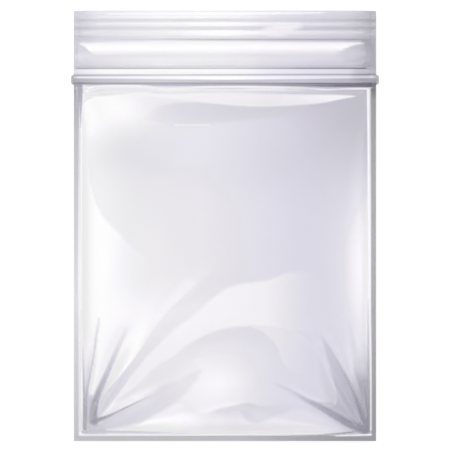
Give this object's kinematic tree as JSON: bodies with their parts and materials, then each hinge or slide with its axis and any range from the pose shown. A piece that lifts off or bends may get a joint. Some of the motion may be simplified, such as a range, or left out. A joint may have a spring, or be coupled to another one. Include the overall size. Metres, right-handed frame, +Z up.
{
  "type": "zipper bag",
  "caption": "Clear plastic bag with a press-shut zip across its mouth, ribbed lips and heat-welded sides, empty, closed and slightly puffed with air, lying flat.",
  "frame": {"origin": "under the middle of the film, at the level of the surface that the bag lies on", "axes": "X across the bag, +Y up the bag towards its lips, +Z up, out of the front panel"},
  "size_m": [0.1018, 0.1424, 0.0127],
  "materials": {
    "front_film": "clear glossy polyethylene film, slightly grey",
    "back_film": "clear glossy polyethylene film, slightly grey",
    "zip_strips": "clear extruded polyethylene, cloudier than the film"
  },
  "bodies": {
    "root": {"front_film": "front_film", "back_film": "back_film", "groove_strip": "zip_strips", "rib_strip": "zip_strips"}
  },
  "joints": []
}
